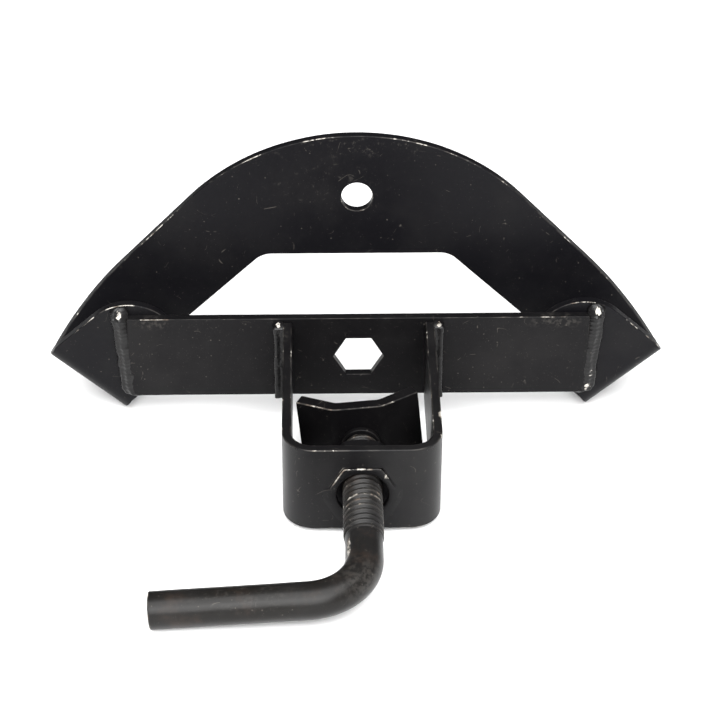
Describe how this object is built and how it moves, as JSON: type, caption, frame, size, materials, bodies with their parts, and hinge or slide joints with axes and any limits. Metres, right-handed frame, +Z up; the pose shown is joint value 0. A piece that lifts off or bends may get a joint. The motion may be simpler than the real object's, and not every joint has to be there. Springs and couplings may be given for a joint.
{
  "type": "spare tire carrier",
  "caption": "Steel spare wheel bracket: a folded arch plate on a flat crossbar, with a U strap, a J-handled clamp screw and a swivelling saddle that grip an upright post.",
  "frame": {"origin": "on the crossbar's clamping face, centred, midway between its lower edge and the hexagonal hole", "axes": "+Z up along the post, +Y from the clamp towards the wheel, +X to the right of someone facing the handle"},
  "size_m": [0.338, 0.2493, 0.1558],
  "materials": {
    "painted_steel": "satin black paint",
    "weld_bead": "gloss black paint over weld",
    "screw_steel": "satin black paint"
  },
  "bodies": {
    "frame": {"wheel_plate": "painted_steel", "cross_bar": "painted_steel", "clamp_strap": "painted_steel", "clamp_nut": "painted_steel", "nut_weld": "weld_bead", "end_weld_left": "weld_bead", "end_weld_right": "weld_bead", "strap_weld_left": "weld_bead", "strap_weld_right": "weld_bead"},
    "carriage": {"thrust_washer": "screw_steel"},
    "screw": {"clamp_screw": "screw_steel"},
    "saddle": {"saddle_pad": "painted_steel"}
  },
  "joints": [
    {"name": "clamp_travel", "type": "slide", "parent": "frame", "child": "carriage", "axis": [0, 1, 0], "range_m": [-0.01205, 0.03205]},
    {"name": "screw_turn", "type": "hinge", "parent": "carriage", "child": "screw", "pos_m": [0, -0.1146, 0.01345], "axis": [0, 1, 0], "range_deg": [-1080, 2880]},
    {"name": "saddle_swivel", "type": "hinge", "parent": "carriage", "child": "saddle", "pos_m": [0, -0.0636, 0.01345], "axis": [0, 1, 0], "range_deg": [-4, 15]}
  ],
  "couplings": [
    {"joint": "clamp_travel", "follows": "screw_turn", "m_per_rad": 0.00063662}
  ]
}
